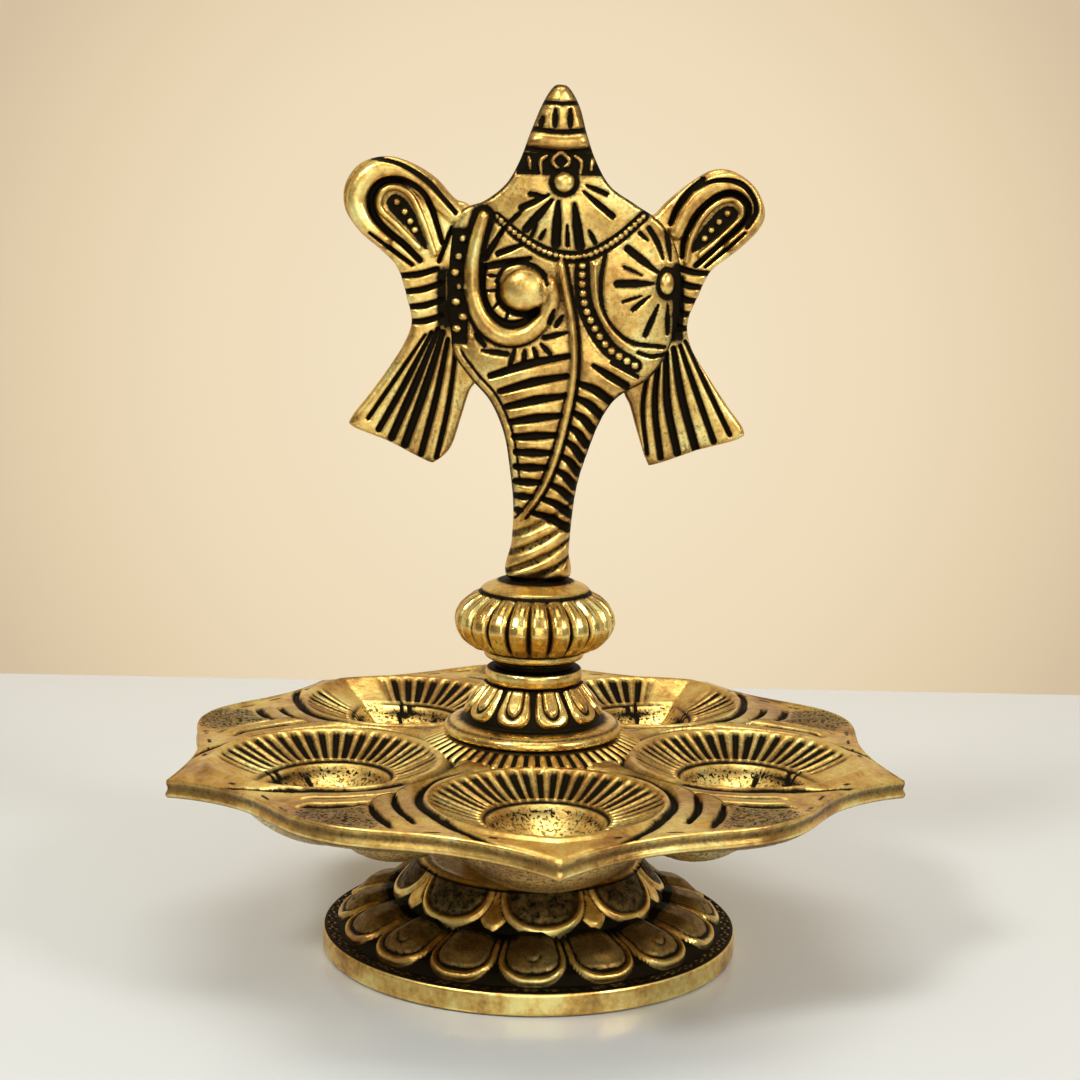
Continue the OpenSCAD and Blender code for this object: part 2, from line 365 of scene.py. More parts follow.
def knob_relief(turn, r, z):
    outside = (r > 8.5) & (z > 68.3) & (z < 81.1)
    along = unit((z - 68.6) / 12.2)
    u = fold(turn, RIBS, 4) * FULL_TURN ** -1 * RIBS * 2
    cut = bell(np.abs(u) - 1, 0.26)
    span = np.sqrt(unit(1 - (2 * along - 1) ** 6))
    rise = -1.1 * cut * span + 0.25 * (1 - np.abs(u)) * span
    dark = 1.2 * bell(np.abs(u) - 1, 0.19 - 0.07 * along) * span
    dark = np.maximum(dark, 0.55 * bell(along - 0.86, 0.12) * (0.5 + 0.5 * np.cos(turn * 88)))
    dark = np.where(outside, dark, 0.0)
    rise = np.where(outside, rise, 0.0)
    skin = r > 4
    for level, width in ((68.2, 0.5), (81.0, 0.5), (66.0, 0.35), (83.6, 0.35)):
        dark = np.maximum(dark, skin * bell(z - level, width))
    dark = np.maximum(dark, skin * 0.85 * (z < 65.4))
    return rise, unit(dark), 0.25 * skin


BELL_SECTION = [(2.9, 49), (19.1, 49), (19.8, 49.9), (19.5, 51), (18, 52), (15.6, 52.5), (15, 53),
    (14, 55.2), (12.2, 57.4), (10.6, 59.2), (9.8, 60.6), (2.9, 60.6), (2.9, 49)]
NECK_SECTION = [(2.9, 60.6), (9.9, 60.6), (10.5, 61), (10.7, 62.3), (10.6, 63.5), (10.1, 64), (2.9, 64),
    (2.9, 60.6)]
KNOB_SECTION = [(2.9, 64), (8.8, 64), (8.8, 65.6), (10.6, 66.2), (11.2, 66.9), (10.9, 67.7), (11.6, 68.2),
    (14.2, 69), (16.1, 70.7), (17.2, 72.6), (17.6, 74.1), (17.3, 76), (16.3, 77.8), (14.5, 79.4),
    (12.3, 80.6), (12.1, 81.2), (11.6, 81.9), (9.6, 82.8), (7.6, 83.6), (2.9, 83.6), (2.9, 64)]


def make_turned():
    foot = round_corners(even(FOOT_OUTSIDE, 0.3) + even(FOOT_INSIDE, 1.5), 1)
    revolve("foot_casting", foot, 560, foot_relief, "lotus_foot")
    revolve("bell_turning", round_corners(even(BELL_SECTION, 0.22)), 420, bell_relief, "stem_bell")
    revolve("ring_turning", round_corners(even(NECK_SECTION, 0.22)), 300, ring_relief, "neck_ring")
    revolve("knob_turning", round_corners(even(KNOB_SECTION, 0.34)), 528, knob_relief, "melon_knob")


# ---------------------------------------------------------------- tray

TRAY_TURN = 4
PETALS = 5
WELL_C = 46
TIP_R, LOBE_R, WAIST_R, TIP_WIDTH = 82.5, 77.5, 70.5, 10
INNER_R = 20
# distance from the axis, half width and depth of the bowls under a well and under a panel
WELL_BOWL = (46, 23, 13.8)
PANEL_BOWL = (52, 15, 9)
HALF_SECTOR = math.radians(36)
# columns of a sector, and those counted from its middle where the corner and the hub begin
COLUMNS, OUTER_COLUMN, INNER_COLUMN = 300, 58, 132
# how far the top face stops short of the edge
INSET = 0.5
FLUTES = 45
GROOVE_RHO = (25.8, 30.8, 35.8)


def edge_r(angle):
    """Distance from the axis to the tray's edge, at an angle from the nearest tip."""
    a = np.abs(np.degrees(angle))
    lobe = unit(np.sin(np.radians(2.5 * a))) ** 5
    return WAIST_R + (LOBE_R - WAIST_R) * lobe + (TIP_R - WAIST_R) * np.exp(-a / TIP_WIDTH)


def place_in_sector(rho, psi):
    """Across and outward coordinates of a point at rho and psi about the well's centre."""
    return rho * np.sin(psi), WELL_C + rho * np.cos(psi)


def edge_lift(angle):
    """How far the tray's edge stands above its plane: the lobes are a little up, the tips down."""
    a = np.abs(np.degrees(angle))
    return 0.8 * np.sin(np.radians(2.5 * a)) ** 2 - 1.2 * np.exp(-a / 7)


def reach_to_edge(psi):
    """Distance from the well's centre to the edge of the top face."""
    low, high = np.full(psi.shape, 15.0), np.full(psi.shape, 60.0)
    for _ in range(40):
        middle = 0.5 * (low + high)
        u, v = place_in_sector(middle, psi)
        short = np.hypot(u, v) < edge_r(np.arctan2(u, v)) - INSET
        low, high = np.where(short, middle, low), np.where(short, high, middle)
    return low


def sector_columns():
    """Angles of the columns about a well's centre, how far each reaches, and its number."""
    corner_r = edge_r(HALF_SECTOR) - INSET
    corner = math.atan2(corner_r * math.sin(HALF_SECTOR), corner_r * math.cos(HALF_SECTOR) - WELL_C)
    inner = math.atan2(INNER_R * math.sin(HALF_SECTOR), INNER_R * math.cos(HALF_SECTOR) - WELL_C)
    k = np.arange(COLUMNS + 1) - COLUMNS // 2
    marks = [0, OUTER_COLUMN, INNER_COLUMN, COLUMNS // 2]
    psi = np.sign(k) * np.interp(np.abs(k), marks, [0, corner, inner, math.pi])
    wedge = WELL_C * math.sin(HALF_SECTOR) / np.sin(np.clip(np.abs(psi) - HALF_SECTOR, 0.2, 3))
    c = np.cos(psi)
    circle = -WELL_C * c - np.sqrt(np.clip(WELL_C**2 * c * c - WELL_C**2 + INNER_R**2, 0, None))
    reach = np.where(np.abs(k) <= OUTER_COLUMN, reach_to_edge(psi), wedge)
    return psi, np.where(np.abs(k) > INNER_COLUMN, circle, reach), np.abs(k)


def rim_rho(psi):
    a = np.degrees(np.abs(psi))
    return 24.2 + 2.8 * np.exp(-a / 20) - 2.0 * ((1 - np.cos(psi)) / 2) ** 3


def ring_rho(psi):
    return 13.2 + 6.5 * np.exp(-np.degrees(np.abs(psi)) / 25)


WELL_MARKS = [[(2.4, 55), (5.4, 56.4), (7.6, 59.4)], [(3.2, 59.6), (5.2, 57.2), (9.4, 56.2)],
    [(8, 47), (10.4, 50.4)]]
PANEL_DOTS = [(36.4, 60.6), (39.6, 58.2), (38.6, 63), (41.8, 60.8)]


def tray_top(u, v, rho, psi, reach):
    """Relief of one petal with its well."""
    rim, ring = rim_rho(psi), ring_rho(psi)
    a = np.degrees(np.abs(psi))
    flat = 46.1
    # the cup with its raised ring, and the fluted slope
    q = unit(rho / ring)
    cup = 43 - 8 * (1 - q * q) + 0.5 * bell(rho - ring + 1.5, 0.45)
    t = unit((rho - ring) / (rim - ring))
    flute = 0.5 - 0.5 * np.cos(FLUTES * psi)
    strength = soft((a - 14) / 16) * soft(t / 0.08) * soft((0.99 - t) / 0.08)
    slope = 43 + 3.9 * t ** 1.25 - 1.2 * flute ** 1.3 * strength
    # the lip, then bands between the grooves, then the panel between two petals
    past = rho - rim
    fall = 0.08 * np.clip(past - 1.8, 0, 12)
    lip = 46.9 + 0.25 * bell(past - 0.9, 0.8) - 0.45 * soft((past - 1) / 1.6) - fall
    side = soft((a - 58) / 8)
    wave = np.abs(np.sin(math.pi * (rho - GROOVE_RHO[0]) / 5)) ** 0.7
    band = flat - 0.2 + 0.9 * wave * (rho < GROOVE_RHO[2])
    outside = np.where(rho > GROOVE_RHO[0], band, lip)
    z = np.where(rho < ring, cup, np.where(rho < rim, slope, lip * (1 - side) + outside * side))
    r = Relief(np.abs(u), v, z)
    r.dark = np.where((rho > ring) & (rho < rim), 1.15 * soft((flute - 0.4) / 0.25) * strength, 0.0)
    r.stain_and_shade((rho < rim) * bell(rho - ring + 0.55, 0.35))
    r.stain_and_shade(0.8 * (rho < ring) * bell(rho - ring + 2.4, 0.35))
    for path in WELL_MARKS:
        r.groove(path, 1.0, 0.4, (0.4, 0.5))
    r.stain_and_shade(0.4 * soft(1 - np.abs(past + 0.9) / 0.6) * strength)
    # grooves that follow the well
    arc = [place_in_sector(GROOVE_RHO[0], math.radians(d)) for d in range(165, 61, -8)]
    tail = [(22.8, 58.2), (19.5, 65), (15.6, 70.4), (12.6, 74.2)]
    r.groove(arc + tail, 1.5, 1.1, (0.6, 0.9))
    for rho_groove, width in zip(GROOVE_RHO[1:], (1.8, 1.6)):
        near_end = unit((reach - rho_groove) / 5)
        half = 0.5 * width * near_end**0.5
        off = np.abs(rho - rho_groove)
        kept = side * (reach > rho_groove + 0.2)
        r.h -= soft(1.4 * (1 - off / np.maximum(1.15 * half, 0.01))) * kept
        r.stain_and_shade(soft(1.9 * (1.12 - off / np.maximum(half, 0.01))) * kept)
    # punched panel between the petals, with a dark line and notches just inside the edge
    panel = side * soft((rho - 37) / 0.8)
    r.punch(np.where(rho < ring - 1.8, 0.9, 0.15 + 0.85 * panel))
    r.stain_and_shade(0.42 * panel)
    r.stain_and_shade(0.24 * side * (rho > rim + 1.5))
    r.stain_and_shade(0.1 * soft((rho - ring) / 2))
    r.stain_and_shade(0.3 * (rho < rim) * soft(rho - ring) * strength)
    for x, y in PANEL_DOTS:
        r.stain_and_shade(0.95 * bell(np.hypot(r.u - x, r.v - y), 0.85))
        r.h -= 0.3 * bell(np.hypot(r.u - x, r.v - y), 0.9)
    to_edge = reach - rho
    notch = bell(to_edge - 2.2, 0.5) * (np.sin(a * 0.55 + 0.6) > 0.2) * (a < 62) * (a > 24)
    r.stain_and_shade(0.8 * notch)
    r.stain_and_shade(0.5 * side * bell(to_edge, 0.5) * (a > 72) * (a < 158))
    # the edge is eased over
    r.h -= 0.15 * soft(1 - to_edge) * (a < 70)
    return r


BAND = [(0.16, 46.1), (0.0, 45.7), (0.05, 45.1), (0.3, 44.4), (0.22, 43.8), (-0.15, 43.2), (-0.2, 42.7),
    (0.3, 42.2)]


def make_tray():
    psi, reach, k = sector_columns()
    a = np.degrees(np.abs(psi))
    rim, ring = rim_rho(psi), ring_rho(psi)
    start = rim + 1.4
    rows = [ring * t for t in (0.03, 0.25, 0.5, 0.72, 0.84, 0.9, 0.95, 1.0)]
    rows += [ring + (rim - ring) * t for t in (0.05, 0.12, 0.3, 0.5, 0.7, 0.86, 0.95)]
    rows += [rim - 0.1, rim + 0.35, rim + 0.8, start]
    marks = [26.0, 26.4, 26.9, 27.6, 28.6, 29.4, 29.8, 30.15, 30.5, 30.8, 31.1, 31.45, 31.8, 32.3, 33.4,
        34.4, 34.8, 35.15, 35.5, 35.8, 36.1, 36.45, 36.9, 38.2, 40.4, 43.4, 50]
    last = len(marks)
    beside = soft((a - 50) / 16)
    before = start
    for j in range(1, last + 1):
        even_rho = start + (reach - start) * j / last
        marked = np.maximum(marks[j - 1], before)
        rho = (1 - beside) * even_rho + beside * marked
        rho = np.minimum(rho, reach - 0.05 * (last - j))
        before = np.maximum(rho, before + 0.001)
        rows.append(reach if j == last else before)
    rho = np.minimum(np.array(rows), reach)
    angle = np.repeat(psi[None], len(rows), 0)
    u, v = place_in_sector(rho, angle)
    r = tray_top(u, v, rho, angle, np.repeat(reach[None], len(rows), 0))
    points, darks, stipples, faces = [], [], [], []
    count = 0

    def layer(u, v, z, dark, stipple):
        nonlocal count
        points.append(np.stack([u, -v, z], -1).reshape(-1, 3))
        darks.append(np.broadcast_to(dark, z.shape).ravel())
        stipples.append(np.broadcast_to(stipple, z.shape).ravel())
        numbers = np.arange(z.size).reshape(z.shape) + count
        count += z.size
        return numbers

    def join(numbers, keep=None, flip=False):
        quads = np.stack([numbers[:-1, :-1], numbers[1:, :-1], numbers[1:, 1:], numbers[:-1, 1:]], -1)
        if keep is not None:
            quads = quads[:, keep]
        quads = quads.reshape(-1, 4)
        faces.extend((quads[:, ::-1] if flip else quads).tolist())

    edge_angle = np.arctan2(u[-1], v[-1])
    out = unit((rho - start) / (reach - start)) ** 2
    top = layer(u, v, r.h + edge_lift(edge_angle) * out, unit(r.dark), r.stipple)
    join(top)
    faces.append(top[0, :-1][::-1].tolist())
    # underside: a round bowl below each well, a shallower one below each panel
    at_edge = k <= OUTER_COLUMN
    edge = edge_r(edge_angle)
    low = 42.0
    lift = edge_lift(edge_angle)
    under_u = np.where(at_edge, (edge - 1.6) * np.sin(edge_angle), u[-1])
    under_v = np.where(at_edge, (edge - 1.6) * np.cos(edge_angle), v[-1])
    share = np.append(np.linspace(0.02, 0.94, 14), [0.97, 1.0])[:, None]
    low_u, low_v = share * under_u, WELL_C + share * (under_v - WELL_C)
    low_z = low + lift * share**2
    bowls = ((0, WELL_BOWL), (-HALF_SECTOR, PANEL_BOWL), (HALF_SECTOR, PANEL_BOWL))
    for turn, (centre, half, depth) in bowls:
        from_bowl = np.hypot(low_u - centre * math.sin(turn), low_v - centre * math.cos(turn))
        cap = (half**2 + depth**2) / (2 * depth)
        drop = np.sqrt(np.clip(cap**2 - from_bowl**2, 0, None)) - cap + depth
        low_z = np.minimum(low_z, low - drop * (from_bowl < half))
    under = layer(low_u, low_v, low_z, 0.2, 0.5)
    join(under, flip=True)
    faces.append(under[0, :-1].tolist())
    # the edge's face, and the wall round the hole that the boss fills
    band_u = np.array([(edge - off) * np.sin(edge_angle) for off, _ in BAND])
    band_v = np.array([(edge - off) * np.cos(edge_angle) for off, _ in BAND])
    band_z = np.array([z + edge_lift(edge_angle) for _, z in BAND])
    shade = np.array([0, 0.1, 0.4, 0.5, 0.3, 0, 0.05, 0.5])[:, None] + 0 * band_z
    band = layer(band_u, band_v, band_z, shade, 0.15)
    between = (k[:-1] <= OUTER_COLUMN) & (k[1:] <= OUTER_COLUMN)
    join(np.vstack([top[-1:], band, under[-1:]]), between)
    join(np.vstack([top[-1:], under[-1:]]), (k[:-1] >= INNER_COLUMN) & (k[1:] >= INNER_COLUMN))
    # five turns of the sector, joined where they meet
    sector = np.vstack(points)
    whole, every = [], []
    for n in range(PETALS):
        turn = math.radians(TRAY_TURN + n * 360 / PETALS)
        c, s = math.cos(turn), math.sin(turn)
        whole.append(sector @ np.array([[c, s, 0], [-s, c, 0], [0, 0, 1]]))
        every += [[i + n * count for i in face] for face in faces]
    whole = np.vstack(whole)
    _, first, same = np.unique(np.round(whole, 3), axis=0, return_index=True, return_inverse=True)
    same = same.ravel()
    solid = []
    for face in every:
        ring_of = [int(same[i]) for i in face]
        ring_of = [i for n, i in enumerate(ring_of) if i != ring_of[n - 1]]
        if len(ring_of) > 2:
            solid.append(ring_of)
    dark = np.tile(np.concatenate(darks), PETALS)[first]
    stipple = np.tile(np.concatenate(stipples), PETALS)[first]
    casting("tray_casting", whole[first], solid, dark, stipple, "base", "petal_tray")


def boss_relief(turn, r, z):
    ribbed = (z > 46) & (r > 19.2) & (r < 24.9)
    wave = 0.5 + 0.5 * np.cos(turn * BOSS_RIBS)
    rise = np.where(ribbed, 0.5 * (wave - 0.5), 0.0)
    dark = np.where(ribbed, soft((0.52 - wave) / 0.25), 0.0)
    dark = np.maximum(dark, (z > 44) * 0.9 * bell(r - 24.7, 0.3))
    return rise, unit(dark), 0.3 * (z < 44)


BOSS_SECTION = [(2.9, 20), (15, 20), (15.4, 22), (15.8, 30), (18, 42.6), (23.6, 43.2), (24.5, 44),
    (24.5, 46.6), (23.6, 47), (20.4, 48.3), (19, 48.9), (2.9, 48.9), (2.9, 20)]


def make_boss():
    revolve("tray_boss", round_corners(even(BOSS_SECTION, 0.66)), 660, boss_relief, "petal_tray")


# ---------------------------------------------------------------- emblem

BODY = [(-6, 84), (-5.4, 92), (-5.2, 100), (-6, 108), (-7.4, 116), (-10.5, 123), (-15, 128), (-19, 134),
    (-20.5, 144), (-20.3, 155), (-18, 163), (-12.5, 165.6), (-8, 169.2), (-5.2, 174), (-3, 180),
    (-0.6, 186), (1.6, 189.6), (3.4, 190.2), (5.2, 189.4), (7.4, 185.6), (9, 180), (11, 174.5),
    (14.2, 169.2), (19.5, 165.6), (25.5, 161.5), (29.3, 155), (30, 146), (28.5, 137), (24, 129),
    (17, 124.6), (13.3, 119.4), (10.5, 112), (8.6, 105), (7.6, 97), (7.1, 90), (6.7, 84)]
LEFT_BOW = [(-15, 163), (-19, 166), (-23, 170.2), (-28, 173.2), (-33.5, 174.6), (-39, 173),
    (-42.2, 168.6), (-42.2, 163.4), (-39, 158.6), (-34, 154.4), (-30.8, 150.8), (-28.8, 144.5),
    (-27.8, 139.5), (-29.4, 134.8), (-33, 129), (-37, 123.4), (-40.6, 118.6), (-40.2, 116.6),
    (-32.5, 113.6), (-24.2, 109.5), (-22, 109.6), (-19, 112.6), (-17, 118.6), (-15.2, 124.6), (-13, 130),
    (-14, 148)]
RIGHT_BOW = [(20, 163), (23.6, 163.2), (26.5, 166.2), (31, 170), (36, 173), (40.5, 172.8), (45, 169.6),
    (47.3, 164.6), (46.2, 160.8), (41.8, 156.2), (36.4, 151.8), (33.8, 146.5), (31.6, 140.5), (32.6, 135),
    (36.5, 128.8), (40.8, 122.6), (44.3, 117.8), (43.4, 115.6), (35, 113.1), (25.4, 109.7), (23.6, 110.4),
    (21.6, 116), (19.8, 122), (18, 128), (20, 146)]
VEIN = [(4, 153), (5.5, 146), (6.8, 139.5), (7.3, 132.5), (6.8, 125.5), (5.5, 118.5), (3.9, 112),
    (1.6, 105.5), (-1, 101), (-3.6, 97.5)]


def inside_outline(loop, u, v):
    """Whether points lie inside a closed polyline."""
    inside = np.zeros(u.shape, bool)
    for (ua, va), (ub, vb) in zip(loop[:-1], loop[1:]):
        if va != vb:
            inside ^= ((va > v) != (vb > v)) & (u < (ub - ua) * (v - va) / (vb - va) + ua)
    return inside


def rounded(depth, drop, width):
    """How much an edge falls away, from drop at depth 0 to nothing at depth width."""
    s = 1 - unit(depth / width)
    return drop * (1 - np.sqrt(1 - s * s))


def plaque(name, outline, pitch, half, relief, node):
    """A flat casting with an outline in x and z and the same relief on its front and its back."""
    loop = curve(outline, closed=True)
    loop = np.vstack([loop, loop[:1]])
    low, high = loop.min(0), loop.max(0)
    x, z = np.meshgrid(np.arange(low[0] - pitch, high[0] + 2 * pitch, pitch),
        np.arange(low[1] - pitch, high[1] + 2 * pitch, pitch))
    d, _, foot_x, foot_z = nearest(loop, x, z)
    depth = np.where(inside_outline(loop, x, z), d, -d)
    good = depth > -0.5 * pitch
    cell = good[:-1, :-1] & good[:-1, 1:] & good[1:, 1:] & good[1:, :-1]
    wide = np.pad(cell, 1)
    around = sum(wide[a:a + x.shape[0], b:b + x.shape[1]].astype(int) for a in (0, 1) for b in (0, 1))
    used, rim = around > 0, (around > 0) & (around < 4)
    x, z = np.where(rim, foot_x, x), np.where(rim, foot_z, z)
    depth = np.where(rim, 0, depth)
    r = Relief(x, z)
    relief(r, depth)
    r.h = blur(r.h, 1)
    hollow = blur(r.h, 4) - r.h
    halo = blur(unit(r.dark), 4)
    r.dark = unit(np.maximum(r.dark, 0.8 * halo) + 1.1 * np.clip(hollow, -0.35, 0.45))
    y = half(x, z, depth) + r.h
    number = np.full(x.shape, -1)
    number[used] = np.arange(used.sum())
    n = used.sum()
    row, column = np.nonzero(cell)
    a, b = number[row, column], number[row, column + 1]
    c, e = number[row + 1, column + 1], number[row + 1, column]
    faces = np.stack([a, b, c, e], 1)
    faces = np.vstack([faces, faces[:, ::-1] + n])
    below, above = wide[:-2, 1:-1], wide[2:, 1:-1]
    left, right = wide[1:-1, :-2], wide[1:-1, 2:]
    ends = [(below, (0, 0), (0, 1)), (right, (0, 1), (1, 1)), (above, (1, 1), (1, 0)),
        (left, (1, 0), (0, 0))]
    edges = []
    for beside, *corners in ends:
        row, column = np.nonzero(cell & ~beside)
        edges.append(np.stack([number[row + dr, column + dc] for dr, dc in corners], 1))
    edges = np.vstack(edges)
    ids = number[rim]
    slot_of = np.full(n, -1)
    slot_of[ids] = np.arange(len(ids))
    rings = [np.arange(n)]
    xs, zs, ys = x[used], z[used], y[used]
    points = [np.stack([xs, -ys, zs], 1), np.stack([xs, ys, zs], 1)]
    steps = 4
    for k in range(1, steps):
        level = 2 * k / steps - 1
        rings.append(2 * n + (k - 1) * len(ids) + slot_of)
        points.append(np.stack([xs[ids], level * ys[ids], zs[ids]], 1))
    rings.append(np.arange(n) + n)
    for front, back in zip(rings, rings[1:]):
        faces = np.vstack([faces,
            np.stack([front[edges[:, 1]], front[edges[:, 0]], back[edges[:, 0]], back[edges[:, 1]]], 1)])
    dark, stipple = r.dark[used], r.stipple[used]
    side = [np.full(len(ids), 0.3)] * (steps - 1)
    dark = np.concatenate([dark, dark] + side)
    stipple = np.concatenate([stipple, stipple] + side)
    casting(name, np.vstack(points), faces.tolist(), dark, stipple, "finial", node)


def strokes(r, width, depth, paths, taper=(0.5, 0.8)):
    for path in paths:
        r.groove(path, width, depth, taper)


def crown_relief(r):
    """Cone, rings and the band of curls at the top."""
    for z, width in ((176.5, 0.9), (180.8, 0.8), (186.6, 0.7)):
        r.groove([(-4, z + 0.3), (3.5, z - 0.4), (11, z + 0.3)], width, 0.5)
    strokes(r, 1.2, 0.5,
        [[(2.2, 185), (2.2, 181.6)], [(5.4, 185), (5.4, 181.6)], [(-0.4, 183.4), (-0.8, 181.6)]])
    r.ridge([(-3.8, 178.9), (3.5, 178.2), (10, 178.9)], 2.8, 0.9)
    band = soft((r.v - 171.1) / 0.5) * soft((176.2 - r.v) / 0.5) * (np.abs(r.u - 3.4) < 9)
    r.stain_and_shade(band)
    r.h -= 0.5 * band
    r.ridge([(5.4, 174.3), (3.6, 176), (1.8, 174.3), (3.6, 172.6)], 0.9, 0.7, closed=True)
    for side in (-1, 1):
        hook = [(-1.1, 171.8), (-1.3, 174.2), (0, 175.4)]
        r.ridge([(3.6 + side * (3.4 - x - 0.4), z) for x, z in hook], 1.0, 0.7, (0.7, 0.7))
        r.ridge([(3.6 + side * 6.4, 172.6), (3.6 + side * 6.8, 175)], 1.0, 0.7, (0.7, 0.7))
    r.dome((4.4, 170), (2.3, 2.3), 1.7, rim=0.9)


def garland_relief(r):
    """Fan of petals under the crown, and the beaded cord that hangs below it."""
    fan = [(0.9, (0.1, 166.9), (-2.7, 167.3)), (1.0, (1.2, 167.2), (-4.6, 164.4)),
        (1.5, (1.9, 166.2), (-3.4, 160)), (1.7, (3.2, 165.8), (2.9, 157)),
        (1.7, (6.6, 165.4), (8, 156.6)), (1.0, (8.6, 168), (14.8, 163)), (0.8, (9, 169.4), (13.4, 167.6)),
        (0.8, (-4.2, 164), (-6.6, 161.6)), (0.7, (-1.2, 161), (-2.3, 158.6)),
        (0.7, (0.6, 160), (-0.4, 158)), (0.7, (5.2, 161), (5.4, 156.6)), (0.8, (9.8, 160), (11.2, 157.4))]
    for width, start, end in fan:
        r.groove([start, end], width * 1.15, 0.8, (0.4, 1))
    cord = [(-9.8, 162.4), (-4.9, 158.4), (0.5, 155.3), (5.8, 154.2), (10.4, 154.9), (16, 158.2), (21.4, 163)]
    r.groove(cord, 2.6, 0.7, (0.7, 0.8))
    r.beads(cord, 1.25, 0.68, 0.8)


def flower_relief(r):
    """Half flower at the right, inside its dome, with the strip of square beads beside it."""
    for width, path in [(1.6, [(24.6, 151.4), (18.2, 156.2)]), (1.6, [(23.8, 149), (16.2, 148.8)]),
            (1.0, [(23.2, 146.4), (19.6, 143.4)]), (1.2, [(25, 144.4), (22.4, 138)]),
            (1.1, [(25.8, 154.2), (24.6, 157.4), (22.6, 160.6)]), (0.8, [(22.5, 158), (20.6, 159.6)]),
            (1.0, [(27.4, 153.9), (26.4, 160)]), (0.9, [(27, 144.6), (27.2, 138.4)]),
            (0.6, [(21.6, 150.6), (17.4, 152.4)]), (0.6, [(21.6, 146.4), (17.4, 145)])]:
        r.groove(path, width, 0.6, (0.35, 0.95))
    r.groove([(13.4, 155), (12.6, 148.5), (13.4, 142.7), (16.1, 138.7), (20, 136.2), (26.6, 135.4)], 0.8, 0.5)
    strip = [(8.6, 152.5), (8.7, 148.4), (9.3, 144.2), (10.8, 140.6), (13, 137), (15.6, 134.2), (20.4, 131.4)]
    r.groove(strip, 3.4, 0.8, (0.9, 0.8))
    r.beads(strip, 2.0, 0.95, 0.9)
    r.ridge([(11.3, 152.8), (11.6, 147.5), (12.4, 143.6), (14.1, 140.2), (16.6, 137.2), (20.4, 134.6)],
        0.8, 0.5)
    r.groove([(21, 134.2), (24, 133.4), (27.6, 134)], 0.8, 0.4)
    r.dome((26.8, 149), (1.7, 2.5), 1.5, rim=0.7)


def spiral_relief(r):
    """The conch's mouth at the left: a smooth band that curls round a ball and ends in it."""
    across = soft((r.u + 20.6) / 0.8) * soft((-15.2 - r.u) / 0.8)
    edge_strip = across * soft((r.v - 134) / 2) * soft((161 - r.v) / 2)
    r.stain_and_shade(0.95 * edge_strip)
    r.h -= 0.6 * edge_strip
    for x, z in ((-16.6, 157.6), (-17.5, 153.8), (-18.4, 150.4), (-17.2, 147.4), (-18.2, 144.2),
            (-16.6, 141), (-18, 138.4), (-14.8, 137)):
        r.dome((x, z), (1.1, 0.85), 0.9)
    inside = soft(1.25 - np.hypot((r.u + 6.5) / 8.4, (r.v - 147.5) / 9.4)) * (r.u < 2)
    r.h -= 0.7 * inside
    hook = [(-12.6, 162.2), (-13.6, 159), (-14.7, 154), (-15, 149), (-14.3, 144.6), (-12.4, 140.4),
        (-9.6, 137.8), (-6.4, 136.9), (-3, 137.7), (-0.4, 139.9), (1.4, 142.6), (2.2, 145.6),
        (1.6, 148.6)]
    r.groove(hook[:-1], 5, 0.6, (1, 0.5), dark=0.9)
    r.ridge(hook, 4.1, 2.0, (0.7, 0.8))
    r.dome((-3.6, 147), (4.9, 4.7), 2.6)
    r.groove([(-12.3, 151.4), (-12.5, 147), (-11.4, 143.2), (-9.4, 140.9), (-6.6, 139.8), (-3.6, 140.4),
        (-1.2, 142.2)], 1.2, 1.0, (0.8, 1.2))
    r.groove([(-9.2, 148.5), (-9.2, 145.4), (-7.7, 143.2), (-5.3, 142.2), (-2.8, 141.9), (-1, 142.6)],
        1.0, 1.0, (0.5, 1.7))
    r.groove([(-9.6, 148.6), (-8, 151.6), (-5, 152.8), (-2, 152.4), (0.4, 150.6), (1.2, 148.4)], 0.7, 0.7)
    strokes(r, 0.7, 0.5,
        [[(-11.4, 150), (-9.6, 149.8)], [(-11.6, 146.6), (-9.8, 146.8)], [(-10.2, 143), (-8.8, 144.4)],
         [(-7.4, 140.9), (-6.9, 142.4)]], (0.8, 0.8))
    for width, path in ((1.5, [(-2.4, 153.8), (-12, 151.8)]), (1.2, [(-4.4, 156.6), (-9.4, 154.6)]),
            (1.3, [(-8.6, 159.4), (-12, 153.6)]), (0.8, [(-7.4, 161), (-9, 158.6)])):
        r.groove(path, width, 0.8, (0.5, 1))


